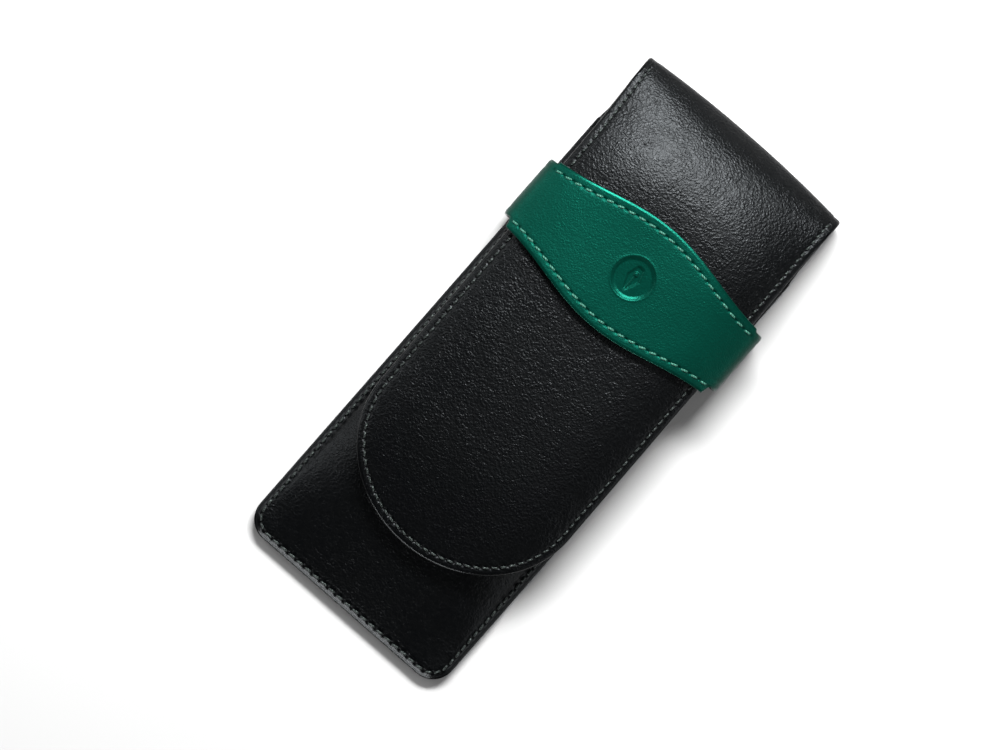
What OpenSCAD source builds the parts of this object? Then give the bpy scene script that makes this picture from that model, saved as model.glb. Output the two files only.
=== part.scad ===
// Leather case for three fountain pens.
// It lies on its back: +X runs across it, +Y towards the fold of the flap and +Z up, through
// the strap. The origin is under the middle of its bounding box, on the surface it lies on.
// One sheet of leather is the back, goes round the fold and comes down the front as the flap.
// A separate front panel is sewn to the back along three sides and makes the pocket.
// A keeper strap crosses the front, its ends sewn into the side seams, and holds the flap's tail.

/* [Case] */
// Length from the bottom seam to the fold
case_l = 160; // [150:0.5:170]
// Width over the sewn side seams
case_w = 65.4; // [64:0.2:70]
// Width of the back between the pocket's mouth and the fold
throat_w = 64.4; // [63:0.2:64.8]
// Radius of the two bottom corners
corner_r = 6.5; // [4:0.5:9]
// Width of the flat sewn margin beside the pocket
margin_w = 2.5; // [2:0.1:3]
// Distance from the bottom seam to the pocket's mouth
mouth_y = 139; // [134:0.5:141]
// Clear height inside the pocket, between the linings
pocket_h = 13; // [11:0.5:15]
// Length over which the pocket's lower end rises to its full height
toe_l = 16; // [12:1:20]

/* [Fold] */
// Outer radius of the fold
fold_r = 4.6; // [4.2:0.1:5]
// Angle at which the flap climbs from the fold to the mouth
climb_a = 27.8; // [26:0.2:30]
// Outer radius of the bend where the flap levels out
level_r = 12; // [10:1:16]

/* [Flap] */
// Width of the flap
flap_w = 63.7; // [62:0.1:64]
// Distance the flap stands to the right of the pocket's middle at the fold
flap_shift = 0.4; // [0:0.1:0.8]
// Further distance that it has moved to the right at its tail
flap_lean = 0.8; // [0:0.1:1]
// Distance from the bottom seam to the middle of the tail's curve
tail_y = 51.3; // [45:0.5:60]
// Length of the tail's curve
tail_l = 28.1; // [24:0.5:31]
// Drop of the flap's side edges below its middle
flap_drop = 5; // [4:0.2:6]

/* [Strap] */
// Distance from the bottom seam to the strap's middle
strap_y = 112.3; // [100:0.5:118]
// Width of the strap over its ends
strap_span = 70.7; // [70:0.1:73]
// Height of the strap where it meets the case's sides
strap_end_h = 21.5; // [20:0.5:24]
// Further height of the strap in its middle
strap_mid_h = 10.6; // [8:0.2:13]
// Height of the narrow tabs at its ends
tab_h = 18.3; // [16:0.5:20]
// Drop of the strap's surface from its middle to the flap's edges
strap_drop = 4.3; // [3.6:0.1:4.6]
// Distance the strap stands to the right of the pocket's middle
strap_shift = 0.75; // [0.5:0.05:1]
// Tilt of the strap's outline
strap_tilt = 0.8; // [0:0.1:1.5]
// Diameter of the pressed emblem
emblem_d = 11.3; // [9:0.1:13]

/* [Leather and stitching] */
// Thickness of the leather
leather_t = 1.0; // [0.9:0.1:1.1]
// Thickness of the lining
lining_t = 0.4; // [0.3:0.1:0.5]
// Thickness of the stiffener in the back and the padding in the front
board_t = 0.6; // [0.5:0.1:0.7]
// Thickness of the stiffener in the flap and the strap
thin_board_t = 0.4; // [0.3:0.1:0.5]
// Distance from one stitch to the next
stitch_pitch = 2.3; // [2.2:0.1:2.6]
// Distance from one stitch to the next on the strap
strap_pitch = 3.0; // [2.6:0.1:3.4]
// Length of a stitch
stitch_l = 1.6; // [1.4:0.1:1.8]
// Width of the thread
thread_w = 0.6; // [0.5:0.1:0.8]
// Height of a stitch above the leather
thread_h = 0.25; // [0.2:0.05:0.3]
// Distance of the stitching from the edge
stitch_in = 1.6; // [1.4:0.1:1.8]
// Distance of the flap's stitching from its edge
flap_stitch_in = 2.1; // [1.8:0.1:2.4]
// Distance of the strap's stitching from its edge
strap_stitch_in = 2.5; // [2.2:0.1:2.8]

/* [Hidden] */
$fn = 48;

black = [0.06, 0.06, 0.07];
thread_black = [0.12, 0.12, 0.13];
green = [0.0, 0.38, 0.28];
thread_green = [0.25, 0.62, 0.48];
board_grey = [0.45, 0.44, 0.42];
lining_black = [0.16, 0.15, 0.15];

// Thicknesses of the sewn-up layers
back_t = leather_t + board_t + lining_t;
front_t = leather_t + board_t + lining_t;
flap_t = leather_t + thin_board_t + lining_t;
strap_t = leather_t + thin_board_t + lining_t;
fold_t = leather_t + lining_t;

// Room for the flap to slide between the pocket and the strap
slide_gap = 0.3;
strap_gap = 0.4;

// The heights of the layers above the surface that the case lies on
front_top = back_t + pocket_h + front_t;
flap_top = front_top + slide_gap + flap_t;
strap_top = flap_top + strap_gap + strap_t;

// The pocket's bulge
bulge_w = case_w / 2 - margin_w;
bulge_power = 4;
toe_power = 2.6;
mouth_drop = 0.6;
mouth_drop_l = 6;

// Width over which the back's and the flap's leather is turned over at the edge
turned_w = 4;

// The flap's crown falls off as this power of the distance from its middle
crown_power = 3.5;

// The fold turns round this line, and leaves it at the climbing flap's slope
fold_y = case_l - fold_r;
turn_a = 180 - climb_a;
split_a = turn_a / 4;
fold_steps = 12;
level_steps = 6;
board_end_y = fold_y - 2.4;
// The climbing part meets the level part at this distance from the bottom seam
climb_end_y = fold_y + fold_r * sin(turn_a)
    - (flap_top - fold_r + fold_r * cos(turn_a)) / tan(climb_a);
level_l = level_r * tan(climb_a / 2);
level_y = climb_end_y - level_l;
crease_y = climb_end_y;

// Sizes for cutting tools, larger than the case
far = 200;
high = 60;

// The strap's path round the side of the case
strap_half = strap_span / 2;
corner_x = 32.5;
tab_inset = 2.3;
lining_end_z = 6.5;

// Depths in the emblem
emblem_depth = 0.25;
nib_depth = 0.25;

eps = 0.01;

// Moves what is drawn from the case's own corner to the frame's origin
module placed() translate([-strap_shift, -case_l / 2, 0]) children();

// Draws an outline given in X and Z, along Y from y0 to y1
module along_y(y0, y1) translate([0, y1, 0]) rotate([90, 0, 0]) linear_extrude(y1 - y0) children();

// Draws an outline given in Y and Z, along X over the whole width
module along_x(half) translate([-half, 0, 0]) rotate([90, 0, 90]) linear_extrude(2 * half) children();

// Slab between two heights with an outline given in X and Y
module slab(z0, z1) translate([0, 0, z0]) linear_extrude(z1 - z0) children();

// ---- outlines seen from above ----

// The back up to the fold: rounded bottom corners, a slightly narrower throat
module back_outline(inset = 0, top = fold_y) {
    half = case_w / 2 - inset;
    throat = throat_w / 2 - inset;
    r = corner_r - inset;
    union() {
        for (s = [-1, 1]) translate([s * (half - r), inset + r]) circle(r);
        translate([-half + r, inset]) square([2 * (half - r), r]);
        polygon([
            [-half, inset + r], [half, inset + r], [half, mouth_y], [throat, mouth_y + 2],
            [throat, top], [-throat, top], [-throat, mouth_y + 2], [-half, mouth_y]
        ]);
    }
}

module pocket_outline(inset = 0) intersection() {
    back_outline(inset);
    translate([-far / 2, 0]) square([far, mouth_y]);
}

// The flap leans a little to the right on its way down
function flap_x(y) = flap_shift + flap_lean * min(1, (case_l - y) / (case_l - tail_y));
function flap_edge(side, y, inset) = [flap_x(y) + side * (flap_w / 2 - inset), y];
function tail_point(a, inset) = [
    flap_x(tail_y) + (flap_w / 2 - inset) * sin(a),
    tail_y - (tail_l - inset) * cos(a)
];

module flap_outline(inset = 0) polygon(concat(
    [for (a = [-90:5:90]) tail_point(a, inset)],
    [flap_edge(1, case_l + 1, inset), flap_edge(-1, case_l + 1, inset)]
));

// Half the strap's height at a distance from its middle
function strap_reach(x) = strap_end_h / 2 + strap_mid_h / 2 * pow(cos(90 * min(1, abs(x) / strap_half)), 2);

module strap_outline() {
    shoulder = case_w / 2 + 0.2;
    union() {
        polygon(concat(
            [for (i = [-20:20]) [shoulder * i / 20, strap_reach(shoulder * i / 20)]],
            [for (i = [20:-1:-20]) [shoulder * i / 20, -strap_reach(shoulder * i / 20)]]
        ));
        square([strap_span + 2, tab_h], center = true);
    }
}

// ---- the pocket ----

// The space under the pocket's front, d inside its outer surface
module bulge(d) {
    a = bulge_w - d;
    h = front_top - back_t - d;
    intersection() {
        along_y(0, mouth_y) polygon([
            for (q = [-90:7.5:90]) [a * sin(q), back_t + h * sqrt(1 - pow(abs(sin(q)), bulge_power))]
        ]);
        along_x(far / 2) polygon(concat(
            [[mouth_y, back_t]],
            [for (q = [0:9:90]) let (s = 1 - cos(q)) [
                margin_w + d + toe_l * s,
                back_t + h * sqrt(1 - pow(1 - s, toe_power))
            ]],
            [[mouth_y - mouth_drop_l, back_t + h], [mouth_y, back_t + h - mouth_drop]]
        ));
        slab(0, high) back_outline(margin_w + d);
    }
}

// The flat sewn margin of a layer of the front, which runs in under the layers outside it
module front_margin(z0, z1, d) slab(z0, z1) difference() {
    pocket_outline();
    back_outline(margin_w + d);
}

// The strap's ends lie in the seam in place of the lining and the padding
module tab_pockets() for (s = [-1, 1])
    translate([s * case_w / 2, strap_y, back_t + (board_t + lining_t) / 2])
        cube([2 * margin_w - eps, tab_h + 0.8, board_t + lining_t], center = true);

// The back's leather is turned over at its edges, round the board
module back_leather() color(black) placed() union() {
    slab(0, leather_t) back_outline();
    slab(leather_t, leather_t + board_t) difference() {
        back_outline(0, board_end_y);
        back_outline(turned_w, board_end_y);
    }
    fold_shell(0, leather_t) fold_wedge(0, split_a);
}

module back_board() color(board_grey) placed()
    slab(leather_t, leather_t + board_t) back_outline(turned_w, board_end_y);

// The lining steps down past the end of the board and goes on round the fold
module back_lining() color(lining_black) placed() union() {
    slab(leather_t + board_t, back_t) back_outline(0, board_end_y + lining_t);
    slab(leather_t, fold_t) difference() {
        back_outline(0, fold_y);
        translate([-far / 2, 0]) square([far, board_end_y]);
    }
    slab(leather_t, back_t) difference() {
        back_outline(0, board_end_y + lining_t);
        translate([-far / 2, 0]) square([far, board_end_y]);
    }
    fold_shell(leather_t, fold_t) fold_wedge(0, split_a);
}

// The front leather turns over the ends of the layers below it at the mouth
module front_leather() color(black) placed() union() {
    difference() {
        bulge(0);
        difference() {
            bulge(leather_t);
            mouth_end();
        }
        bulge(front_t);
        slab(0, back_t + board_t + lining_t) back_outline();
    }
    front_margin(back_t + board_t + lining_t, back_t + front_t, 0);
}

module front_padding() color(board_grey) placed() front_layer(leather_t, leather_t + board_t, lining_t);

module front_lining() color(lining_black) placed() front_layer(leather_t + board_t, front_t, 0);

// The last stretch of the front, where its leather is turned over
module mouth_end() translate([-far / 2, mouth_y - leather_t, back_t + board_t + lining_t]) cube([far, far, high]);

// A layer of the front: a shell under the leather, and its part of the flat margin at height z
module front_layer(d0, d1, z) difference() {
    union() {
        difference() {
            bulge(d0);
            bulge(d1);
            slab(0, back_t + z) back_outline();
        }
        front_margin(back_t + z, back_t + z + d1 - d0, d1);
    }
    mouth_end();
    tab_pockets();
}

// A partition between two pens, with a foot on the back's lining
divider_x = 9.6;
divider_t = 0.8;
divider_foot = 5;
divider_y0 = 20;
divider_y1 = 132;

module divider(side) color(lining_black) placed() union() {
    intersection() {
        translate([side * divider_x - divider_t / 2, divider_y0, back_t])
            cube([divider_t, divider_y1 - divider_y0, high]);
        bulge(front_t + 0.1);
    }
    translate([side * divider_x - divider_t / 2 - (side < 0 ? divider_foot : 0), divider_y0, back_t])
        cube([divider_foot + divider_t, divider_y1 - divider_y0, lining_t]);
}

// ---- the fold and the flap, one sheet that turns over ----

// Region inside the sheet's outer surface, d under it, in Y and Z
module sheet_region(d) polygon(concat(
    [[0, d], [fold_y, d]],
    [for (i = [1:fold_steps]) let (q = turn_a * i / fold_steps)
        [fold_y + (fold_r - d) * sin(q), fold_r - (fold_r - d) * cos(q)]],
    [for (i = [0:level_steps]) let (q = climb_a * (1 - i / level_steps))
        [level_y + (level_r - d) * sin(q), flap_top - level_r + (level_r - d) * cos(q)]],
    [[0, flap_top - d]]
));

// Height of the flap's outer surface across its width
function crown(x) = flap_top - flap_drop * pow(abs(x) / (flap_w / 2), crown_power);

// The same region cut by the flap's crown
module flap_solid(d) intersection() {
    along_x(far / 2) sheet_region(d);
    along_y(0, far) polygon(concat(
        [for (i = [-18:18]) let (x = 36 * i / 18) [flap_x(tail_y) + x, crown(x) - d]],
        [[36, -1], [-36, -1]]
    ));
}

module flap_shell(d0, d1) difference() {
    intersection() {
        flap_solid(d0);
        slab(0, high) flap_outline();
    }
    flap_solid(d1);
}

// A piece of the rounded fold between two radial cuts
module fold_shell(d0, d1) intersection() {
    along_x(throat_w / 2) difference() {
        sheet_region(d0);
        sheet_region(d1);
    }
    children();
}

module fold_wedge(a0, a1) along_x(far / 2) translate([fold_y, fold_r]) polygon([
    [0, 0],
    [far * sin(a0), -far * cos(a0)],
    [far * sin((a0 + a1) / 2), -far * cos((a0 + a1) / 2)],
    [far * sin(a1), -far * cos(a1)]
]);

// The part of the sheet from the fold's upper cut to the crease over the mouth
module shoulder_zone() along_x(far / 2) polygon([
    [fold_y, fold_r],
    [fold_y + far * sin(3 * split_a), fold_r - far * cos(3 * split_a)],
    [fold_y + far, far],
    [crease_y, far],
    [crease_y, fold_r]
]);

module flap_zone() translate([-far / 2, 0, fold_r]) cube([far, crease_y, high]);

module fold_leather() color(black) placed() fold_shell(0, leather_t) fold_wedge(split_a, 3 * split_a);

module fold_lining() color(lining_black) placed() fold_shell(leather_t, fold_t) fold_wedge(split_a, 3 * split_a);

module shoulder_leather() color(black) placed() intersection() {
    flap_shell(0, leather_t);
    shoulder_zone();
}

module shoulder_lining() color(lining_black) placed() intersection() {
    flap_shell(leather_t, fold_t);
    shoulder_zone();
}

// The flap's leather is turned over at its edges, round the stiffener
module flap_leather() color(black) placed() intersection() {
    difference() {
        flap_shell(0, leather_t + thin_board_t);
        stiffener_space();
    }
    flap_zone();
}

module stiffener_space() intersection() {
    flap_solid(leather_t);
    slab(0, high) flap_outline(turned_w);
}

module flap_stiffener() color(board_grey) placed() intersection() {
    flap_shell(leather_t, leather_t + thin_board_t);
    stiffener_space();
    flap_zone();
}

module flap_lining() color(lining_black) placed() intersection() {
    flap_shell(leather_t + thin_board_t, flap_t);
    flap_zone();
}

// ---- the strap ----

// The strap's outer surface in X and Z
function strap_crown(x) = strap_top - strap_drop * pow(abs(x) / (flap_w / 2), crown_power);
strap_slope_a = atan(strap_drop * crown_power / (flap_w / 2) * pow(corner_x / (flap_w / 2), crown_power - 1));
strap_corner_r = (strap_half - corner_x) / (1 - sin(strap_slope_a));
strap_corner_z = strap_crown(corner_x) - strap_corner_r * cos(strap_slope_a);

// One side of the strap, d under its surface, from its middle to the top of the tab's upright part
function strap_side(d) = concat(
    [for (i = [0:14]) let (
        x = corner_x * i / 14,
        a = atan(strap_drop * crown_power / (flap_w / 2) * pow(x / (flap_w / 2), crown_power - 1))
    ) [x - d * sin(a), strap_crown(x) - d * cos(a)]],
    [for (i = [1:8]) let (a = (90 - strap_slope_a) * (1 - i / 8)) [
        strap_half - strap_corner_r + (strap_corner_r - d) * cos(a),
        strap_corner_z + (strap_corner_r - d) * sin(a)
    ]]
);

// The tab's turn under the side and into the seam, whose edge is this far from the strap's middle
function strap_turn(d, edge) = let (r = strap_half - edge) concat(
    [for (i = [0:8]) let (a = -90 * i / 8) [
        edge + (r - d) * cos(a), back_t + r + (r - d) * sin(a)
    ]],
    [[edge - tab_inset, back_t + d]]
);

function strap_path(d, edge, into_seam) =
    concat(strap_side(d), into_seam ? strap_turn(d, edge) : [[strap_half - d, lining_end_z]]);
function reversed(p) = [for (i = [len(p) - 1:-1:0]) p[i]];
function mirrored(p) = [for (i = [len(p) - 1:-1:1]) [-p[i][0], p[i][1]]];
function seam_edge(side) = case_w / 2 - side * strap_shift;

// The strap's whole section from its left end to its right end, d under its surface
function strap_line(d, into_seam) = concat(
    mirrored(strap_path(d, seam_edge(-1), into_seam)),
    strap_path(d, seam_edge(1), into_seam)
);

// A layer of the strap between depths d0 and d1. Below its corners only the tabs go on.
module strap_layer(d0, d1, into_seam) translate([0, strap_y - case_l / 2, 0]) intersection() {
    along_y(-far / 2, far / 2)
        polygon(concat(strap_line(d0, into_seam), reversed(strap_line(d1, into_seam))));
    union() {
        slab(strap_corner_z, high) rotate(strap_tilt) strap_outline();
        slab(0, strap_corner_z + eps) rotate(strap_tilt) square([strap_span + 2, tab_h], center = true);
    }
}

// A nib seen from the front: a pointed shield with a slit and a round hole
module nib() difference() {
    intersection() {
        translate([3.2, 0]) circle(5.2);
        translate([-3.2, 0]) circle(5.2);
        translate([-far / 2, -3.9]) square([far, 6.4]);
    }
    translate([0, 0.7]) circle(0.55);
    translate([-0.12, -5]) square([0.24, 5.4]);
}

module strap_leather() color(green) difference() {
    strap_layer(0, leather_t, true);
    translate([0, strap_y - case_l / 2, strap_top - emblem_depth]) difference() {
        cylinder(h = high, d = emblem_d);
        translate([0, 0, -eps]) linear_extrude(nib_depth) nib();
    }
}

module strap_stiffener() color(board_grey) strap_layer(leather_t, leather_t + thin_board_t, false);

module strap_lining() color(lining_black) strap_layer(leather_t + thin_board_t, strap_t, false);

// ---- stitching: short raised threads that lie on the leather ----

module stitch(p, a) translate(p) rotate(a) square([stitch_l, thread_w], center = true);

// Stitches along a straight line between two points
module row(p0, p1, pitch) {
    run = norm(p1 - p0);
    n = floor(run / pitch);
    a = atan2(p1[1] - p0[1], p1[0] - p0[0]);
    for (i = [0:n]) stitch(p0 + (p1 - p0) * (i + 0.5) / (n + 1), a);
}

seam_z = back_t + front_t;
module seam_threads() color(thread_black) placed() slab(seam_z, seam_z + thread_h) children();

// Side seams, from the mouth down to the bottom corner
module seam_row(side) {
    x = case_w / 2 - stitch_in;
    row([side * x, mouth_y - 1], [side * x, corner_r], stitch_pitch);
}

module seam_stitching_left() seam_threads() seam_row(-1);

module seam_stitching_right() seam_threads() seam_row(1);

// Bottom seam with the two corners
module seam_stitching_bottom() seam_threads() {
    r = corner_r - stitch_in;
    for (side = [-1, 1], a = [20:30:80])
        stitch([side * (case_w / 2 - corner_r + r * cos(a)), corner_r - r * sin(a)], -side * (90 - a));
    row([-case_w / 2 + corner_r, stitch_in], [case_w / 2 - corner_r, stitch_in], strap_pitch);
}

// Threads that follow the pocket's front
module mouth_stitching() color(thread_black) placed() difference() {
    intersection() {
        bulge(-thread_h);
        slab(0, high) row([-24, mouth_y - 2.6], [24, mouth_y - 2.6], strap_pitch);
    }
    bulge(0);
}

// Threads that follow the flap
module flap_threads() color(thread_black) placed() difference() {
    intersection() {
        flap_solid(-thread_h);
        slab(fold_r, high) children();
    }
    flap_solid(0);
}

module flap_row(side, y0, y1)
    row(flap_edge(side, y0, flap_stitch_in), flap_edge(side, y1, flap_stitch_in), stitch_pitch);

module shoulder_stitching() flap_threads() for (side = [-1, 1]) flap_row(side, case_l - 3.5, crease_y + 0.3);

module flap_stitching_left() flap_threads() flap_row(-1, crease_y - 0.3, tail_y);

module flap_stitching_right() flap_threads() flap_row(1, crease_y - 0.3, tail_y);

module flap_stitching_tail() flap_threads() {
    n = 40;
    for (i = [0:n - 1]) let (a = -90 + 180 * (i + 0.5) / n) stitch(tail_point(a, flap_stitch_in), a);
}

// Threads that follow the strap
module strap_row(side) color(thread_green) difference() {
    intersection() {
        strap_layer(-thread_h, leather_t / 2, true);
        translate([0, strap_y - case_l / 2, 0]) slab(strap_corner_z, high) rotate(strap_tilt)
            for (i = [-10:10]) let (
                x = strap_pitch * i,
                rise = strap_reach(x + 0.5) - strap_reach(x - 0.5)
            ) stitch([x, side * (strap_reach(x) - strap_stitch_in)], side * atan(rise));
    }
    strap_layer(0, leather_t, true);
}

module strap_stitching_upper() strap_row(1);

module strap_stitching_lower() strap_row(-1);

module divider_left() divider(-1);

module divider_right() divider(1);

back_leather();
back_board();
back_lining();
front_leather();
front_padding();
front_lining();
divider_left();
divider_right();
seam_stitching_left();
seam_stitching_right();
seam_stitching_bottom();
mouth_stitching();
strap_leather();
strap_stiffener();
strap_lining();
strap_stitching_upper();
strap_stitching_lower();
fold_leather();
fold_lining();
shoulder_leather();
shoulder_lining();
shoulder_stitching();
flap_leather();
flap_stiffener();
flap_lining();
flap_stitching_left();
flap_stitching_right();
flap_stitching_tail();
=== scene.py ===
"""Leather case for three fountain pens: the looks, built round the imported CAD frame.

Lengths are in millimetres here and are turned into metres when a mesh is made. The case's own
coordinates are x from the pocket's middle, y from the bottom seam and z up.
"""
import math
import bpy
import numpy as np
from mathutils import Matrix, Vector
from mathutils.geometry import delaunay_2d_cdt


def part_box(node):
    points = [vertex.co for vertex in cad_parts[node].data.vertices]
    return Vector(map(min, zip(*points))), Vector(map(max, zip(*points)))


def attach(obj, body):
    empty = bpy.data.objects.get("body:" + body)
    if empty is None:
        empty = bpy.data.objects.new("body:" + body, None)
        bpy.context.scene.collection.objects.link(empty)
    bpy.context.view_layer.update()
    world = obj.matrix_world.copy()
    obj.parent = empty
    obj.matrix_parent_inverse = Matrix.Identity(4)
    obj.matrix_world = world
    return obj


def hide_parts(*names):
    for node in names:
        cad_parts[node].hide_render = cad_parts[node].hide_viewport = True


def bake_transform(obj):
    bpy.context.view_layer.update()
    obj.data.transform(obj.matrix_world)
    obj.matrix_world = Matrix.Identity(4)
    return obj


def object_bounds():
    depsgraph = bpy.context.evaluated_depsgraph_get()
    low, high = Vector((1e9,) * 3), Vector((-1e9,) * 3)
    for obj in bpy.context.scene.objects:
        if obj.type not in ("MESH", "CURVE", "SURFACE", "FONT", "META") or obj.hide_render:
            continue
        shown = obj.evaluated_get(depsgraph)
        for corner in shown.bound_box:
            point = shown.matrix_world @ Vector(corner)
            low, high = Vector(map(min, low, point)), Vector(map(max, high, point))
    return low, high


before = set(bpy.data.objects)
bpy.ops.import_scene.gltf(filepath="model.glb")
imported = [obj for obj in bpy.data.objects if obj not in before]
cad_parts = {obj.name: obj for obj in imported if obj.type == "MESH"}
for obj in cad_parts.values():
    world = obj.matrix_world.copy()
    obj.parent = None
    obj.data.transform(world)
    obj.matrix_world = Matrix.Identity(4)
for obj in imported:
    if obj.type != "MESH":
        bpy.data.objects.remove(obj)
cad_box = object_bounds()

MM = 0.001

# ---- sizes, from the frame where it has them ----

def node_box(node):
    """A CAD node's low and high corners, in millimetres."""
    low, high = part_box(node)
    return np.array(low) / MM, np.array(high) / MM


back_low, back_high = node_box("back_leather")
front_high = node_box("front_leather")[1]
strap_low, strap_high = node_box("strap_leather")
flap_high = node_box("flap_leather")[1]
box_low, box_high = (np.array(c) / MM for c in cad_box)

# The pocket: its outline, its layers and its mouth
CASE_L = box_high[1] - box_low[1]
HALF_W = (back_high[0] - back_low[0]) / 2
POCKET_X = (back_high[0] + back_low[0]) / 2
MOUTH_Y = front_high[1] - box_low[1]
BACK_T = 2.0
FRONT_T = 2.0
SEAM_Z = BACK_T + FRONT_T
FRONT_TOP = front_high[2]
CORNER_R = 6.5
MARGIN_W = 2.5
THROAT_HALF = 32.2

# The fold and the flap
SHEET_T = 1.45
EDGE_R = 0.70
FOLD_R = 4.6
FOLD_Y = CASE_L - FOLD_R
FLAP_TOP = flap_high[2]
FLAP_HALF = 31.85
FLAP_X = 0.6
FLAP_DROP = 5.0
CROWN_POWER = 3.5
TAIL_X = 1.3
TAIL_Y = 51.3
TAIL_L = 28.1

# The strap
STRAP_T = 1.25
STRAP_Y = 112.3
STRAP_HALF = (strap_high[0] - strap_low[0]) / 2
STRAP_TOP = strap_high[2]
STRAP_DROP = 4.3
TAB_HALF = 9.15
TAB_UP = 0.9

# Stitches: their distance from the edge, and from one to the next
SEAM_IN = 1.7
FLAP_IN = 2.1
STRAP_IN = 2.4
PITCH = 2.3
BOTTOM_PITCH = 2.7
STRAP_PITCH = 3.0
HOLE_R = 0.36
HOLE_DEPTH = 0.3

# Meshes: the step along an edge, its polished width, and the rings of points beside it
STEP = 0.36
EDGE_BAND = 0.75
EDGE_RINGS = [0, 0.05, 0.15, 0.3, 0.5, 0.75, 1.1, 1.45, 1.7, 1.9, 2.1, 2.3, 2.6, 3.2, 4.2]

random = np.random.default_rng(7)


def smooth(t):
    """A soft step from 0 to 1."""
    t = np.clip(t, 0.0, 1.0)
    return t * t * (3 - 2 * t)


def mix(a, b, t):
    return a + (b - a) * t


def to_frame(points):
    """Case coordinates in millimetres to frame coordinates in metres."""
    p = np.asarray(points, float)
    return (p + np.array([POCKET_X, -CASE_L / 2, 0.0])) * MM


# ---- camera ----

VIEW_TURN = math.radians(41.2)
CAMERA_X, CAMERA_Y = -8.05, 71.7
CAMERA_UP = 1.5
FRAME_W = 0.2564


def make_camera():
    data = bpy.data.cameras.new("camera")
    data.sensor_width = 36
    data.lens = data.sensor_width * CAMERA_UP / FRAME_W
    data.clip_start, data.clip_end = 0.05, 20
    camera = bpy.data.objects.new("camera", data)
    bpy.context.scene.collection.objects.link(camera)
    x, y, z = to_frame([CAMERA_X, CAMERA_Y, SEAM_Z])
    camera.location = (x, y, z + CAMERA_UP)
    camera.rotation_euler = (0, 0, VIEW_TURN)
    bpy.context.scene.camera = camera


make_camera()

# ---- meshes ----

def make_mesh(name, verts, faces, materials, uv=None, normals=None, face_material=None, values=None):
    """A mesh object from case coordinates. faces is a list of index arrays, each n by 3 or n by 4."""
    mesh = bpy.data.meshes.new(name)
    co = to_frame(verts)
    loops = np.concatenate([np.asarray(f).ravel() for f in faces])
    sizes = np.concatenate([np.full(len(f), np.asarray(f).shape[1]) for f in faces])
    mesh.vertices.add(len(co))
    mesh.vertices.foreach_set("co", co.ravel())
    mesh.loops.add(len(loops))
    mesh.loops.foreach_set("vertex_index", loops.astype(np.int32))
    mesh.polygons.add(len(sizes))
    starts = np.concatenate([[0], np.cumsum(sizes)[:-1]])
    mesh.polygons.foreach_set("loop_start", starts.astype(np.int32))
    mesh.polygons.foreach_set("use_smooth", np.ones(len(sizes), bool))
    if face_material is not None:
        mesh.polygons.foreach_set("material_index", np.asarray(face_material, np.int32))
    if uv is not None:
        layer = mesh.uv_layers.new(name="grain")
        layer.data.foreach_set("uv", (np.asarray(uv)[loops] * MM).astype(np.float32).ravel())
    for key, value in (values or {}).items():
        attribute = mesh.attributes.new(key, "FLOAT", "POINT")
        attribute.data.foreach_set("value", np.asarray(value, np.float32))
    for material in materials:
        mesh.materials.append(material)
    mesh.update(calc_edges=True)
    mesh.validate(clean_customdata=False)
    if normals is not None:
        mesh.normals_split_custom_set_from_vertices([tuple(n) for n in normals])
    piece = bpy.data.objects.new(name, mesh)
    bpy.context.scene.collection.objects.link(piece)
    return piece


def vertex_normals(verts, tris):
    """Area-weighted smooth normals."""
    a, b, c = (verts[tris[:, i]] for i in range(3))
    face = np.cross(b - a, c - a)
    out = np.zeros_like(verts)
    for i in range(3):
        np.add.at(out, tris[:, i], face)
    return out / np.maximum(np.linalg.norm(out, axis=1, keepdims=True), 1e-12)


def resample(points, step, closed=True):
    """Points at an even step along a polyline."""
    p = np.asarray(points, float)
    if closed:
        p = np.vstack([p, p[:1]])
    run = np.concatenate([[0], np.cumsum(np.linalg.norm(np.diff(p, axis=0), axis=1))])
    n = max(3, int(round(run[-1] / step)))
    at = np.linspace(0, run[-1], n + (0 if closed else 1), endpoint=not closed)
    return np.column_stack([np.interp(at, run, p[:, i]) for i in range(p.shape[1])])


def inward(points):
    """Unit normals that point into a closed outline that runs anticlockwise."""
    ahead, behind = np.roll(points, -1, axis=0), np.roll(points, 1, axis=0)
    t = ahead - behind
    n = np.column_stack([-t[:, 1], t[:, 0]])
    n /= np.linalg.norm(n, axis=1, keepdims=True)
    for _ in range(4):
        n = n + np.roll(n, 1, axis=0) + np.roll(n, -1, axis=0)
        n /= np.linalg.norm(n, axis=1, keepdims=True)
    return n


def inside(points, outline):
    """True for the points inside a closed outline."""
    x, y = points[:, 0], points[:, 1]
    hit = np.zeros(len(points), bool)
    a, b = outline, np.roll(outline, -1, axis=0)
    for (ax, ay), (bx, by) in zip(a, b):
        if (ay > y.max() and by > y.max()) or (ay < y.min() and by < y.min()) or ay == by:
            continue
        cross = (ay > y) != (by > y)
        hit ^= cross & (x < (bx - ax) * (y - ay) / (by - ay) + ax)
    return hit


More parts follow.
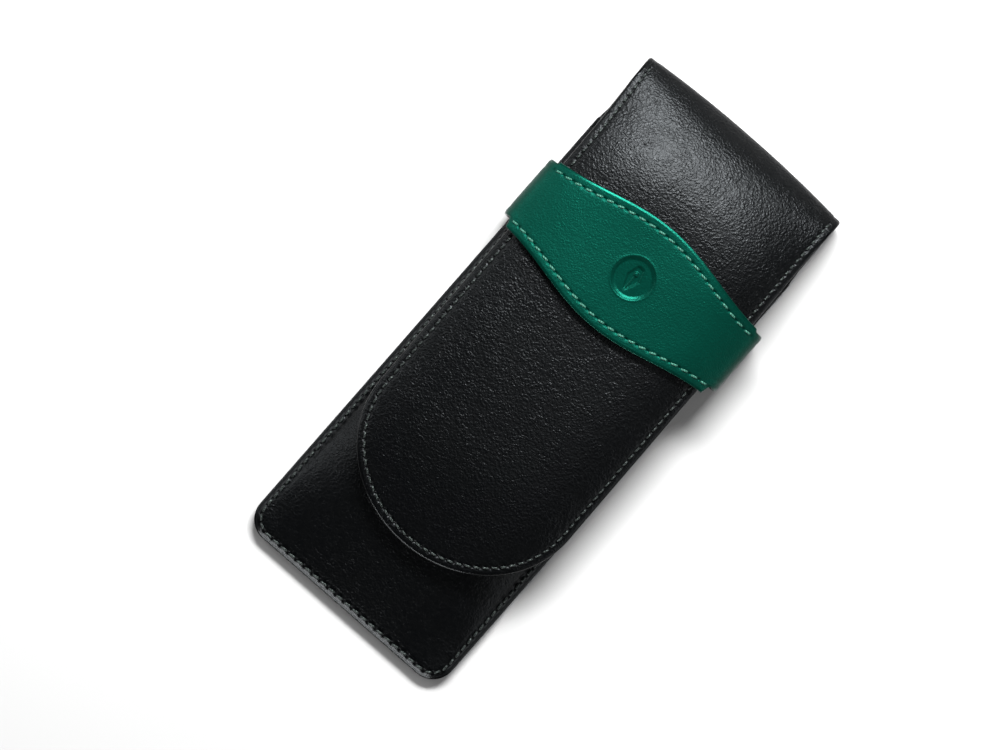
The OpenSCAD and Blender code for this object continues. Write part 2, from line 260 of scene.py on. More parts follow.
def panel(outline, insets, spacing, extra=()):
    """A flat panel's points, its triangles, the distance of each point from the edge, and the
    indices of the outer ring. Rings of points follow the edge, and an even grid fills the rest."""
    normal = inward(outline)
    rings = [outline + normal * i for i in insets]
    depth = [np.full(len(outline), float(i)) for i in insets]
    core = rings[-1]
    low, high = core.min(axis=0), core.max(axis=0)
    rows = np.arange(low[1], high[1], spacing * 0.866)
    grid = np.array([
        (x + (spacing / 2 if k % 2 else 0), y)
        for k, y in enumerate(rows) for x in np.arange(low[0], high[0], spacing)
    ])
    grid = grid[inside(grid, rings[-1] + normal * (0.45 * spacing))]
    if len(extra):
        gap = 0.7 * spacing
        for low_i in range(0, len(extra), 400):
            block = extra[low_i:low_i + 400]
            d2 = ((grid[:, None, :] - block[None]) ** 2).sum(axis=2).min(axis=1)
            grid = grid[d2 > gap * gap]
        grid = np.vstack([grid, extra])
    points = np.vstack([*rings, grid])
    depth = np.concatenate([*depth, np.full(len(grid), insets[-1] + spacing)])
    n = len(outline)
    edges = [(i, (i + 1) % n) for i in range(n)]
    out = delaunay_2d_cdt([Vector(p) for p in points], edges, [], 1, 1e-7)
    kept = np.array([o[0] if o else -1 for o in out[3]])
    tris = kept[np.array(out[2])]
    a, b, c = (points[tris[:, i]] for i in range(3))
    area = np.cross(b - a, c - a)
    tris = tris[np.abs(area) > 1e-9]
    area = area[np.abs(area) > 1e-9]
    tris[area < 0] = tris[area < 0][:, ::-1]
    return points, tris, depth, np.arange(n)


def slab(points, tris, ring, top, bottom):
    """A closed flat solid's points (u, v, w), with w the depth under the outer face, and triangles."""
    n = len(points)
    verts = np.vstack([np.column_stack([points, top]), np.column_stack([points, bottom])])
    a, b = ring, np.roll(ring, -1)
    walls = np.vstack([np.column_stack([a, a + n, b]), np.column_stack([b, a + n, b + n])])
    return verts, np.vstack([tris, tris[:, ::-1] + n, walls])


def rolled(d, radius, drop):
    """How far a rounded edge lies under the face, at distance d from the edge."""
    t = np.clip(1 - d / radius, 0, 1)
    return drop * (1 - np.sqrt(np.maximum(0, 1 - t * t)))


# ---- the sheet that makes the back, the fold and the flap ----

# After the round fold the flap climbs in a soft bend, an even slope and a second bend to level
SOFT_A = math.radians(50)
CLIMB_PLACE = [0, 0.07, 0.14, 0.23, 0.33, 0.50, 0.66, 0.84, 1.0]
CLIMB_SLOPE = np.radians([50, 46, 39, 29.5, 24, 18.5, 12, 5, 0])
turn = math.pi - SOFT_A
fold_end = (FOLD_Y + FOLD_R * math.sin(turn), FOLD_R - FOLD_R * math.cos(turn))
FOLD_V0 = FOLD_Y
FOLD_V1 = FOLD_Y + FOLD_R * turn


def climb_curve(steps=200):
    """The climb from the fold's end to the level part, scaled to reach the flap's height."""
    s = np.linspace(0, 1, steps + 1)
    a = np.interp(s, CLIMB_PLACE, CLIMB_SLOPE)
    for _ in range(100):
        a[1:-1] = (a[:-2] + 2 * a[1:-1] + a[2:]) / 4
    y = -np.concatenate([[0], np.cumsum((np.cos(a[1:]) + np.cos(a[:-1])) / 2)]) / steps
    z = np.concatenate([[0], np.cumsum((np.sin(a[1:]) + np.sin(a[:-1])) / 2)]) / steps
    scale = (FLAP_TOP - fold_end[1]) / z[-1]
    return fold_end[0] + y * scale, fold_end[1] + z * scale, a, scale


climb_y, climb_z, climb_a, CLIMB_L = climb_curve()
CLIMB_V1 = FOLD_V1 + CLIMB_L
LEVEL_Y = climb_y[-1]
TIP_V = CLIMB_V1 + LEVEL_Y - (TAIL_Y - TAIL_L)
TAIL_V = CLIMB_V1 + LEVEL_Y - TAIL_Y


def sheet_path(v):
    """y, z and the outward direction (y, z) of the sheet's outer face at v along it."""
    v = np.asarray(v, float)
    a = np.clip((v - FOLD_V0) / FOLD_R, 0, turn)
    y = np.where(v < FOLD_V0, v, FOLD_Y + FOLD_R * np.sin(a))
    z = np.where(v < FOLD_V0, 0.0, FOLD_R - FOLD_R * np.cos(a))
    t = np.clip((v - FOLD_V1) / CLIMB_L, 0, 1)
    s = np.linspace(0, 1, len(climb_y))
    on = v > FOLD_V1
    y = np.where(on, np.interp(t, s, climb_y), y)
    z = np.where(on, np.interp(t, s, climb_z), z)
    y = np.where(v > CLIMB_V1, LEVEL_Y - (v - CLIMB_V1), y)
    a = np.where(on, math.pi - np.interp(t, s, climb_a), a)
    return y, z, np.sin(a), -np.cos(a)


def flap_v(y):
    """v on the flap's side of the sheet where its outer face is at y."""
    vs = np.linspace(FOLD_V0 + FOLD_R * 1.6, TIP_V, 4000)
    ys = sheet_path(vs)[0]
    return np.interp(-np.asarray(y, float), -ys, vs)


def droop(y):
    """How much lower the flap and the pocket's front lie towards the bottom."""
    return 1.8 * smooth((85 - y) / 62)


def tail_droop(y):
    """How much further the flap's tail hangs down, over the toe."""
    return 3.2 * np.clip((56 - y) / 33, 0, 1.1) ** 2


def sheet_point(u, v, w):
    """The point at u across and v along the sheet, w under its outer face."""
    y, z, ny, nz = sheet_path(v)
    g = smooth((v - FOLD_V1 + 6) / (CLIMB_L * 0.75))
    t = np.abs(u - FLAP_X) / FLAP_HALF
    power = mix(2.1, CROWN_POWER, smooth((v - FOLD_V1) / (CLIMB_L * 1.3)))
    drop = FLAP_DROP * t ** power * g
    slope = FLAP_DROP * power / FLAP_HALF * t ** (power - 1) * g * np.sign(u - FLAP_X)
    long = np.sqrt(1 + slope * slope)
    nx, ny2, nz2 = slope / long, ny / long, nz / long
    soft = 0.10 * np.sin(u / 9.1 + 1.3) * np.sin(v / 13.7 + 0.4) * g
    # the fold's corners are drawn in a little
    bow = 1.3 * (np.abs(u) / 32.0) ** 2.2 * np.exp(-((v - (FOLD_V0 + FOLD_R * 1.5)) / 9.0) ** 2)
    d = drop - soft
    return np.column_stack([
        u - nx * w,
        y - ny * d - ny2 * w - bow,
        z - nz * d - nz2 * w - (droop(y) + tail_droop(y)) * g,
    ])


def sheet_outline():
    """The sheet's flat outline in u and v, anticlockwise from the bottom seam."""
    arc = np.radians(np.linspace(-90, 0, 24))
    middle = HALF_W - CORNER_R
    right = [(middle + CORNER_R * math.cos(a), CORNER_R + CORNER_R * math.sin(a)) for a in arc]
    jog = flap_v(153.0), flap_v(141.0)
    # the flap leans to the right on its way down, so its two sides differ
    sides_r = [
        (HALF_W, MOUTH_Y - 2), (THROAT_HALF, MOUTH_Y + 3), (32.0, FOLD_V0), (32.0, FOLD_V1),
        (31.9, jog[0]), (31.9, jog[1]), (32.5, flap_v(110.0)), (TAIL_X + FLAP_HALF, TAIL_V)
    ]
    tail = [
        (TAIL_X + FLAP_HALF * math.cos(a), TAIL_V + TAIL_L * math.sin(a))
        for a in np.radians(np.linspace(2, 178, 90))
    ]
    sides_l = [
        (TAIL_X - FLAP_HALF, TAIL_V), (-31.3, flap_v(110.0)), (-32.0, jog[1]), (-32.7, jog[0]),
        (-32.8, FOLD_V1), (-32.8, FOLD_V0), (-THROAT_HALF, MOUTH_Y + 3), (-HALF_W, MOUTH_Y - 2)
    ]
    left = [(-x, y) for x, y in right[::-1]]
    return np.array(right + sides_r + tail + sides_l + left)


def row_points(line, pitch):
    """Holes along an open line, evenly spaced at about this pitch."""
    p = np.asarray(line, float)
    run = np.concatenate([[0], np.cumsum(np.linalg.norm(np.diff(p, axis=0), axis=1))])
    n = int(run[-1] / pitch)
    at = np.arange(n + 1) * run[-1] / n
    return np.column_stack([np.interp(at, run, p[:, i]) for i in range(2)])


def split_outline(outline, inset, keep):
    """The part of an inset ring that keep() holds for, as one open line."""
    ring = outline + inward(outline) * inset
    mask = keep(ring)
    start = int(np.argmax(~mask & np.roll(mask, -1))) + 1
    ring, mask = np.roll(ring, -start, axis=0), np.roll(mask, -start)
    end = len(mask) if mask.all() else int(np.argmin(mask))
    return ring[:end]


def near(points, holes, reach):
    """How close each point is to its nearest hole, as a bump from 0 to 1."""
    out = np.zeros(len(points))
    order = np.argsort(holes[:, 1])
    for h in holes[order]:
        pick = np.abs(points[:, 1] - h[1]) < 3 * reach
        pick &= np.abs(points[:, 0] - h[0]) < 3 * reach
        d2 = ((points[pick] - h) ** 2).sum(axis=1)
        out[pick] = np.maximum(out[pick], np.exp(-d2 / reach ** 2))
    return out


# Where the sheet is cut between bodies: round the fold, then on the lower part of the climb
bend = math.radians(76.1)
CUT_1 = FOLD_V0 + FOLD_R * bend
CUT_2 = float(flap_v(142.5))


def build_layer(names, outline, insets, spacing, faces, place, material, cuts=(), hole_rows=(),
                extra=(), polished=None, grain=None):
    """A solid layer laid out flat in u and v and put in its place by place(u, v, w), with w the
    depth under its outer face. faces(points, depth) gives w of the outer and the inner face. It is
    cut across at each v in cuts, into pieces that share their edges and their shading. grain(points)
    gives the grain's coordinates where u and v would stretch it."""
    points, tris, depth, ring = panel(outline, insets, spacing, extra)
    dent = np.zeros(len(points))
    for holes in hole_rows:
        dent = np.maximum(dent, near(points, holes, HOLE_R))
    top, bottom = faces(points, depth)
    verts, tris = slab(points, tris, ring, top + HOLE_DEPTH * dent, bottom - 0.4 * HOLE_DEPTH * dent)
    rim = np.exp(-(depth / EDGE_BAND) ** 4)
    if polished:
        rim = np.maximum(rim, polished(points))
    # dent sinks the faces at the holes, and as the hole value it paints shade into the leather's colour
    # there
    values = np.column_stack([np.concatenate([dent, dent * 0.6]), np.concatenate([rim, rim])])
    for cut in cuts:
        verts, tris, values = cut_across(verts, tris, values, cut)
    values, edges = values.T
    shape = place(verts[:, 0], verts[:, 1], verts[:, 2])
    tris = outward(shape, tris)
    normals = vertex_normals(shape, tris)
    middle = verts[tris][:, :, 1].mean(axis=1)
    grain_uv = grain(verts[:, :2]) if grain else verts[:, :2]
    limits = [-np.inf, *cuts, np.inf]
    made = []
    for name, low, high in zip(names, limits[:-1], limits[1:]):
        used, index = np.unique(tris[(middle > low) & (middle <= high)], return_inverse=True)
        made.append(make_mesh(
            name, shape[used], [index.reshape(-1, 3)], [material], uv=grain_uv[used],
            normals=normals[used], values={"hole": values[used], "edge": edges[used]}
        ))
    return made


def outward(shape, tris):
    """The triangles turned so that a closed solid's volume is positive."""
    a, b, c = (shape[tris[:, i]] for i in range(3))
    volume = (a * np.cross(b, c)).sum()
    return tris if volume > 0 else tris[:, ::-1]


def cut_across(verts, tris, values, at):
    """Splits the triangles that cross v = at, so that no triangle lies on both sides."""
    side = verts[:, 1] > at
    close = np.abs(verts[:, 1] - at) < 0.02
    verts = verts.copy()
    verts[close, 1] = at
    count = side[tris].sum(axis=1)
    on = close[tris].sum(axis=1)
    keep, new = [], {}
    verts_list, values_list = [], []
    base = len(verts)

    def crossing(i, j):
        key = (min(i, j), max(i, j))
        if key not in new:
            a, b = verts[key[0]], verts[key[1]]
            t = (at - a[1]) / (b[1] - a[1])
            new[key] = base + len(verts_list)
            verts_list.append(a + (b - a) * t)
            values_list.append(values[key[0]] * (1 - t) + values[key[1]] * t)
        return new[key]

    plain = tris[(count == 0) | (count == 3) | (on >= 2)]
    for tri in tris[(count > 0) & (count < 3) & (on < 2)]:
        i, j, k = tri
        # turn the triangle so that its first corner is alone on its side
        for _ in range(3):
            if side[i] != side[j] and side[i] != side[k]:
                break
            i, j, k = j, k, i
        if close[i]:
            keep.append((i, j, k))
            continue
        if close[j]:
            q = crossing(i, k)
            keep += [(i, j, q), (q, j, k)]
            continue
        if close[k]:
            p = crossing(i, j)
            keep += [(i, p, k), (p, j, k)]
            continue
        p, q = crossing(i, j), crossing(i, k)
        keep += [(i, p, q), (p, j, q), (j, k, q)]
    if verts_list:
        verts = np.vstack([verts, verts_list])
        values = np.vstack([values, values_list])
    return verts, np.vstack([plain, np.array(keep, int).reshape(-1, 3)]), values


# ---- materials ----

def node(tree, kind, x=0, y=0, **settings):
    n = tree.nodes.new(kind)
    n.location = (x, y)
    for key, value in settings.items():
        if hasattr(n, key):
            setattr(n, key, value)
        else:
            n.inputs[key].default_value = value
    return n


def new_material(name):
    material = bpy.data.materials.new(name)
    material.use_nodes = True
    tree = material.node_tree
    return material, tree, tree.nodes["Principled BSDF"]


def ramp(tree, source, stops):
    """A colour ramp on source. Each stop is its place and a colour or a grey."""
    r = tree.nodes.new("ShaderNodeValToRGB")
    elements = r.color_ramp.elements
    while len(elements) < len(stops):
        elements.new(0.5)
    for element, (place, colour) in zip(elements, stops):
        element.position = place
        element.color = colour if hasattr(colour, "__len__") else (colour, colour, colour, 1)
    tree.links.new(source, r.inputs[0])
    return r.outputs[0]


def math_node(tree, operation, a, b):
    m = tree.nodes.new("ShaderNodeMath")
    m.operation = operation
    for socket, value in zip(m.inputs, (a, b)):
        if isinstance(value, (int, float)):
            socket.default_value = value
        else:
            tree.links.new(value, socket)
    return m.outputs[0]


def leather(name, dark, light, cell, bump, rough, tint, hole_dark=0.5, level=0.10, edge_rough=0.24):
    """Grained leather. cell is the grain's size and bump its depth, both in metres. The colour goes
    from dark in the grain's hollows to light, and hole_dark is its share of that in the stitch holes: a
    painted shade of the holes."""
    material, tree, bsdf = new_material(name)
    links = tree.links
    uv = node(tree, "ShaderNodeUVMap", uv_map="grain").outputs[0]
    wobble = node(tree, "ShaderNodeTexNoise", Scale=0.45 / cell, Detail=2.0)
    links.new(uv, wobble.inputs["Vector"])
    shift = tree.nodes.new("ShaderNodeVectorMath")
    shift.operation = "SCALE"
    links.new(wobble.outputs["Color"], shift.inputs[0])
    shift.inputs["Scale"].default_value = cell * 1.6
    moved = tree.nodes.new("ShaderNodeVectorMath")
    moved.operation = "ADD"
    links.new(uv, moved.inputs[0])
    links.new(shift.outputs[0], moved.inputs[1])
    cells = node(tree, "ShaderNodeTexVoronoi", feature="SMOOTH_F1", Scale=1 / cell, Smoothness=0.35)
    links.new(moved.outputs[0], cells.inputs["Vector"])
    small_cells = node(
        tree, "ShaderNodeTexVoronoi", feature="SMOOTH_F1", Scale=1.9 / cell, Smoothness=0.3
    )
    links.new(moved.outputs[0], small_cells.inputs["Vector"])
    fine = node(tree, "ShaderNodeTexNoise", Scale=4 / cell, Detail=4.0, Roughness=0.6)
    links.new(uv, fine.inputs["Vector"])
    patch = node(tree, "ShaderNodeTexNoise", Scale=0.16 / cell, Detail=3.0, Roughness=0.6)
    links.new(uv, patch.inputs["Vector"])
    broad = node(tree, "ShaderNodeTexNoise", Scale=70.0, Detail=3.0, Roughness=0.55)
    links.new(uv, broad.inputs["Vector"])
    pebble = ramp(tree, cells.outputs["Distance"], [(0.12, 1.0), (0.45, 0.55), (0.72, 0.0)])
    small = ramp(tree, small_cells.outputs["Distance"], [(0.12, 1.0), (0.70, 0.0)])
    strength = ramp(tree, patch.outputs["Fac"], [(0.3, 0.45), (0.68, 1.0)])
    grain = math_node(tree, "ADD", math_node(tree, "MULTIPLY", pebble, 0.7),
                      math_node(tree, "MULTIPLY", small, 0.3))
    grain = math_node(tree, "MULTIPLY", grain, strength)
    edge = node(tree, "ShaderNodeAttribute", attribute_name="edge").outputs["Fac"]
    smooth_edge = ramp(tree, edge, [(0.2, 1.0), (0.8, 0.15)])
    height = math_node(tree, "ADD", math_node(tree, "MULTIPLY", grain, smooth_edge),
                       math_node(tree, "MULTIPLY", fine.outputs["Fac"], 0.09))
    lift = node(tree, "ShaderNodeBump", Strength=1.0, Distance=bump)
    links.new(height, lift.inputs["Height"])
    links.new(lift.outputs[0], bsdf.inputs["Normal"])
    # painted shade: the colour is darkened near the stitch holes, as if the holes were in shade
    hole = node(tree, "ShaderNodeAttribute", attribute_name="hole").outputs["Fac"]
    tone = math_node(tree, "ADD", math_node(tree, "MULTIPLY", grain, 0.5),
                     math_node(tree, "MULTIPLY", broad.outputs["Fac"], 0.6))
    colour = ramp(tree, tone, [(0.25, (*dark, 1)), (0.85, (*light, 1))])
    shade = ramp(tree, hole, [(0.15, 1.0), (0.75, hole_dark)])
    m = tree.nodes.new("ShaderNodeMix")
    m.data_type, m.blend_type = "RGBA", "MULTIPLY"
    m.inputs["Factor"].default_value = 1.0
    links.new(colour, m.inputs[6])
    links.new(shade, m.inputs[7])
    links.new(m.outputs[2], bsdf.inputs["Base Color"])
    gloss = ramp(tree, math_node(tree, "ADD", math_node(tree, "MULTIPLY", broad.outputs["Fac"], 0.35),
                                 math_node(tree, "MULTIPLY", grain, 0.65)),
                 [(0.15, rough + 0.10), (0.75, rough - 0.04)])
    polish = tree.nodes.new("ShaderNodeMix")
    polish.data_type = "FLOAT"
    links.new(edge, polish.inputs[0])
    links.new(gloss, polish.inputs[2])
    polish.inputs[3].default_value = edge_rough
    links.new(polish.outputs[0], bsdf.inputs["Roughness"])
    bsdf.inputs["Specular Tint"].default_value = (*tint, 1)
    bsdf.inputs["Specular IOR Level"].default_value = level
    return material


def thread_material(name, colour, bright, tint):
    """Waxed thread, with its plies twisted."""
    material, tree, bsdf = new_material(name)
    uv = node(tree, "ShaderNodeUVMap", uv_map="grain").outputs[0]
    ply = node(tree, "ShaderNodeTexWave", Scale=900.0, Distortion=0.5, bands_direction="DIAGONAL")
    tree.links.new(uv, ply.inputs["Vector"])
    tone = ramp(tree, ply.outputs["Fac"], [(0.1, (*colour, 1)), (0.9, (*bright, 1))])
    tree.links.new(tone, bsdf.inputs["Base Color"])
    lift = node(tree, "ShaderNodeBump", Strength=0.6, Distance=0.0001)
    tree.links.new(ply.outputs["Fac"], lift.inputs["Height"])
    tree.links.new(lift.outputs[0], bsdf.inputs["Normal"])
    bsdf.inputs["Roughness"].default_value = 0.42
    bsdf.inputs["Specular Tint"].default_value = (*tint, 1)
    bsdf.inputs["Specular IOR Level"].default_value = 0.3
    return material


def suede(name, dark, light):
    """Suede with a short nap."""
    material, tree, bsdf = new_material(name)
    uv = node(tree, "ShaderNodeUVMap", uv_map="grain").outputs[0]
    nap = node(tree, "ShaderNodeTexNoise", Scale=2600.0, Detail=3.0, Roughness=0.7)
    broad = node(tree, "ShaderNodeTexNoise", Scale=90.0, Detail=3.0)
    tree.links.new(uv, nap.inputs["Vector"])
    tree.links.new(uv, broad.inputs["Vector"])
    tone = math_node(tree, "ADD", math_node(tree, "MULTIPLY", nap.outputs["Fac"], 0.5),
                     math_node(tree, "MULTIPLY", broad.outputs["Fac"], 0.5))
    tree.links.new(ramp(tree, tone, [(0.3, (*dark, 1)), (0.7, (*light, 1))]), bsdf.inputs["Base Color"])
    lift = node(tree, "ShaderNodeBump", Strength=0.7, Distance=0.00012)
    tree.links.new(nap.outputs["Fac"], lift.inputs["Height"])
    tree.links.new(lift.outputs[0], bsdf.inputs["Normal"])
    bsdf.inputs["Roughness"].default_value = 0.9
    bsdf.inputs["Sheen Weight"].default_value = 0.35
    bsdf.inputs["Sheen Roughness"].default_value = 0.5
    return material


black = leather(
    "black_nappa", (0.0001, 0.00015, 0.0002), (0.0006, 0.0007, 0.0009),
    cell=0.00066, bump=0.00012, rough=0.31, tint=(0.90, 0.96, 1.0)
)
# the green's stitch holes are painted nearly black, a painted shade of the holes
green = leather(
    "green_calf", (0.0001, 0.0075, 0.0050), (0.0003, 0.0140, 0.0095),
    cell=0.00052, bump=0.00006, rough=0.40, tint=(0.05, 1.0, 0.70), hole_dark=0.10, level=0.19
)
lining = suede("suede_lining", (0.010, 0.010, 0.011), (0.026, 0.026, 0.028))
black_thread = thread_material(
    "black_thread", (0.0010, 0.0012, 0.0012), (0.009, 0.011, 0.0105), tint=(0.85, 1.0, 0.95)
)
green_thread = thread_material(
    "green_thread", (0.006, 0.035, 0.026), (0.035, 0.11, 0.08), tint=(0.40, 1.0, 0.82)
)


# ---- stitches ----

def threads(name, rows, material, width=0.27, lift=0.16, slant=7.0, gap=0.55):
    """One short thread from each hole to the next. rows holds (holes, surface) pairs, where
    surface(uv) is the stitched face's point and outward direction there."""
    sides, along = 8, 9
    ring = np.arange(sides) * 2 * np.pi / sides
    s = np.linspace(-1, 1, along)
    i, j = np.meshgrid(np.arange(along - 1), np.arange(sides), indexing="ij")
    wall = np.stack([
        i * sides + j, i * sides + (j + 1) % sides,
        (i + 1) * sides + (j + 1) % sides, (i + 1) * sides + j
    ], axis=-1).reshape(-1, 4)
    fan = np.arange(1, sides - 1)
    end = (along - 1) * sides
    caps = np.vstack([
        np.column_stack([0 * fan, fan + 1, fan]), end + np.column_stack([0 * fan, fan, fan + 1])
    ])
    verts, quads, tris, uvs = [], [], [], []
    for holes, surface in rows:
        for a, b in zip(holes[:-1], holes[1:]):
            flat = b - a
            length = np.linalg.norm(flat)
            flat = flat / length
            across = np.array([-flat[1], flat[0]])
            lean = math.tan(math.radians(slant + random.normal(0, 1.5)))
            half = (length - gap) / 2
            centre = (a + b) / 2 + np.outer(s * half, flat) + np.outer(s * half * lean, across)
            at, up = surface(centre)
            ahead = np.gradient(at, axis=0)
            ahead /= np.linalg.norm(ahead, axis=1, keepdims=True)
            side = np.cross(ahead, up)
            side /= np.linalg.norm(side, axis=1, keepdims=True)
            # both ends dive into their holes and get thinner
            body = at + up * (lift - (lift + 0.34) * np.abs(s) ** 5)[:, None]
            thick = (width * (1 - 0.35 * np.abs(s) ** 6))[:, None, None]
            base = len(verts) * sides * along
            verts.append((
                body[:, None, :] + side[:, None, :] * thick * np.cos(ring)[None, :, None]
                + up[:, None, :] * thick * 0.82 * np.sin(ring)[None, :, None]
            ).reshape(-1, 3))
            quads.append(wall + base)
            tris.append(caps + base)
            run = s * half + len(verts) * PITCH
            uvs.append(np.stack(np.meshgrid(run, ring * width, indexing="ij"), axis=-1).reshape(-1, 2))
    faces = [np.vstack(quads), np.vstack(tris)]
    return make_mesh(name, np.vstack(verts), faces, [material], uv=np.vstack(uvs))


def face_of(place, w, sign):
    """The surface of a layer at depth w, for threads. sign is 1 on its outer side."""
    def surface(uv):
        step = 0.05
        at = [
            place(uv[:, 0] + du, uv[:, 1] + dv, np.full(len(uv), w))
            for du, dv in ((0, 0), (step, 0), (-step, 0), (0, step), (0, -step))
        ]
        n = np.cross(at[1] - at[2], at[3] - at[4])
        n /= np.linalg.norm(n, axis=1, keepdims=True)
        inner = place(uv[:, 0], uv[:, 1], np.full(len(uv), w + 0.1))
        n *= np.sign((n * (at[0] - inner)).sum(axis=1))[:, None] * sign
        return at[0], n

    return surface


def line_of(x, y):
    """Points from a list of x and a list of y."""
    return np.column_stack([x, y])


def finish(piece, nodes=(), body=None):
    """Hides the CAD parts that a piece stands in for and, unless it bends between two bodies, ties it
    to the body it moves with.
    """
    if nodes:
        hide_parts(*nodes)
    if body:
        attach(piece, body)


# ---- the sheet: back, fold and flap ----

outline = resample(sheet_outline(), STEP)
seam_ring = outline + inward(outline) * SEAM_IN
BOTTOM_SPAN = HALF_W - CORNER_R + 1.0


def at_bottom(points):
    """True for the points of the seam that are on its bottom stretch."""
    return (points[:, 1] < 3.5) & (np.abs(points[:, 0]) < BOTTOM_SPAN)


bottom_ring = seam_ring[at_bottom(seam_ring)]
bottom_ring = bottom_ring[np.argsort(bottom_ring[:, 0])]
seam_bottom = row_points(bottom_ring, BOTTOM_PITCH)


def side_seam(side):
    """Holes along one side seam, from the mouth round to the bottom seam."""
    part = seam_ring[(seam_ring[:, 1] < MOUTH_Y - 1) & (seam_ring[:, 0] * side > 0)]
    part = part[~at_bottom(part)]
    angle = np.arctan2(part[:, 0] * side, part[:, 1] - CORNER_R)
    part = part[np.argsort(-angle)]
    return row_points(part, PITCH)


seam_left, seam_right = side_seam(-1), side_seam(1)
flap_line = split_outline(outline, FLAP_IN, lambda p: p[:, 1] > FOLD_V1 + 1.5)
flap_holes = row_points(flap_line, PITCH)
seam_rows = [seam_left, seam_bottom, seam_right]


def on_flap(v):
    """0 on the back and 1 from the fold on."""
    return smooth((v - FOLD_V0) / 6)


def sheet_faces(points, depth):
    """Depth of the leather's two faces: rounded at the edge and pressed in under the stitches."""
    flap = on_flap(points[:, 1])
    press = 0.10 * np.exp(-((depth - mix(SEAM_IN, FLAP_IN, flap)) / 0.45) ** 2)
    edge = rolled(depth, EDGE_R, EDGE_R)
    return edge + press, SHEET_T - edge - press * 0.6


back_piece, fold_piece, flap_piece = build_layer(
    ["back_panel", "fold_panel", "flap_panel"], outline, EDGE_RINGS, 1.25,
    sheet_faces, sheet_point, black, [CUT_1, CUT_2], [*seam_rows, flap_holes]
)


def sheet_world(v, w=0.9):
    """The point in the frame at v along the sheet, inside it."""
    y, z, ny, nz = (float(a) for a in sheet_path(v))
    return tuple(to_frame([0, y - ny * w, z - nz * w]))


# Where each piece of the sheet goes over from one body to the next
BEND_1 = (sheet_world(FOLD_V0 - 0.5), sheet_world(CUT_1 - 0.2))
BEND_2 = (sheet_world(CUT_1 + 0.2), sheet_world(FOLD_V1 + 3.0))
BEND_3 = (sheet_world(CUT_2 + 1.0), sheet_world(CUT_2 + 14.0))


def bend_sheet(back, fold, flap):
    """Bakes the transforms of a layer's three pieces into their meshes."""
    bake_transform(back)
    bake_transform(fold)
    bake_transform(flap)


bend_sheet(back_piece, fold_piece, flap_piece)
finish(back_piece, ["back_leather", "back_board"])
finish(fold_piece, ["fold_leather"])
finish(flap_piece, ["shoulder_leather", "flap_leather", "flap_stiffener"])

LINING_IN = 0.95
lining_outline = resample(outline + inward(outline) * LINING_IN, STEP * 1.5)


def lining_faces(points, depth):
    """Depth of the lining's two faces: it reaches a little into the leather that it is glued to."""
    inner = mix(2.0, 1.8, on_flap(points[:, 1]))
    stitch_line = mix(SEAM_IN, FLAP_IN, on_flap(points[:, 1])) - LINING_IN
    press = 0.12 * np.exp(-((depth - stitch_line) / 0.4) ** 2)
    return np.full(len(points), SHEET_T - 0.08), inner - rolled(depth, 0.3, 0.28) - press


back_lining, fold_lining, flap_lining = build_layer(
    ["back_panel_lining", "fold_panel_lining", "flap_panel_lining"], lining_outline,
    [0, 0.08, 0.2, 0.35, 0.6, 0.85, 1.05, 1.25, 1.6, 2.4], 1.7,
    lining_faces, sheet_point, lining, [CUT_1, CUT_2], [flap_holes]
)
bend_sheet(back_lining, fold_lining, flap_lining)
finish(back_lining, ["back_lining"])
finish(fold_lining, ["fold_lining"])
finish(flap_lining, ["shoulder_lining", "flap_lining"])

flap_threads = threads(
    "flap_stitches",
    [(flap_holes, face_of(sheet_point, 0.10, 1)), (flap_holes, face_of(sheet_point, 1.70, -1))],
    black_thread
)
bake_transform(flap_threads)
finish(flap_threads, [
    "shoulder_stitching", "flap_stitching_left", "flap_stitching_right", "flap_stitching_tail"
])

# ---- the pocket's front ----

BULGE_HALF = HALF_W - MARGIN_W
TOE_SPAN = 45.0


def edge_distance(x, y):
    """Distance from the pocket's sewn edge."""
    ax, ay = np.abs(x) - (HALF_W - CORNER_R), CORNER_R - y
    round_part = CORNER_R - np.hypot(np.maximum(ax, 0), np.maximum(ay, 0))
    return np.where((ax > 0) & (ay > 0), round_part, np.minimum(HALF_W - np.abs(x), y))


def front_height(x, y):
    """The front's outer face: a pillow at the toe that fills out to the pens' height."""
    # its section is a soft arch at the toe and squarer where the pens fill it
    full = smooth((y - 28) / 45)
    across = np.minimum(1, np.abs(x) / (BULGE_HALF + 0.3))
    side = (1 - across ** mix(2.6, 4.0, full)) ** mix(0.85, 0.5, full)
    along = np.clip((y - 2.2) / TOE_SPAN, 0, 1)
    toe = 1 - (1 - along) ** 1.3
    # the sewn margin stays flat
    foot = smooth((edge_distance(x, y) - 1.9) / 1.3)
    rise = side * toe * foot
    # the leather isn't quite even, and it dips a little at the mouth
    waves = 0.12 * np.sin(x / 7.3 + 0.5) * np.sin(y / 9.7 + 1.1) - 0.12
    mouth = 1.9 * smooth((y - MOUTH_Y + 17) / 17)
    return SEAM_Z + (FRONT_TOP - SEAM_Z + waves - droop(y) - mouth) * rise


def front_point(u, v, w):
    """The point at u across and v up the pocket's front, w under its outer face."""
    step = 0.04
    h = front_height(u, v)
    hx = (front_height(u + step, v) - front_height(u - step, v)) / (2 * step)
    hy = (front_height(u, v + step) - front_height(u, v - step)) / (2 * step)
    long = np.sqrt(1 + hx * hx + hy * hy)
    # the mouth's edge stays square to the pocket's length
    hold = 1 - smooth((v - MOUTH_Y + 3) / 2.5)
    return np.column_stack([u + hx / long * w, v + hy * hold / long * w, h - w / long])


def front_outline(inset=0.0, top=MOUTH_Y):
    """The pocket front's outline, anticlockwise from the bottom seam."""
    r = CORNER_R - inset
    half = HALF_W - inset
    arc = np.radians(np.linspace(-90, 0, 24))
    right = [(half - r + r * math.cos(a), inset + r + r * math.sin(a)) for a in arc]
    tops = [(half, top - 1.2), (half - 0.35, top - 0.35), (half - 1.2, top)]
    right += tops
    return np.array(right + [(-x, y) for x, y in right[::-1]])


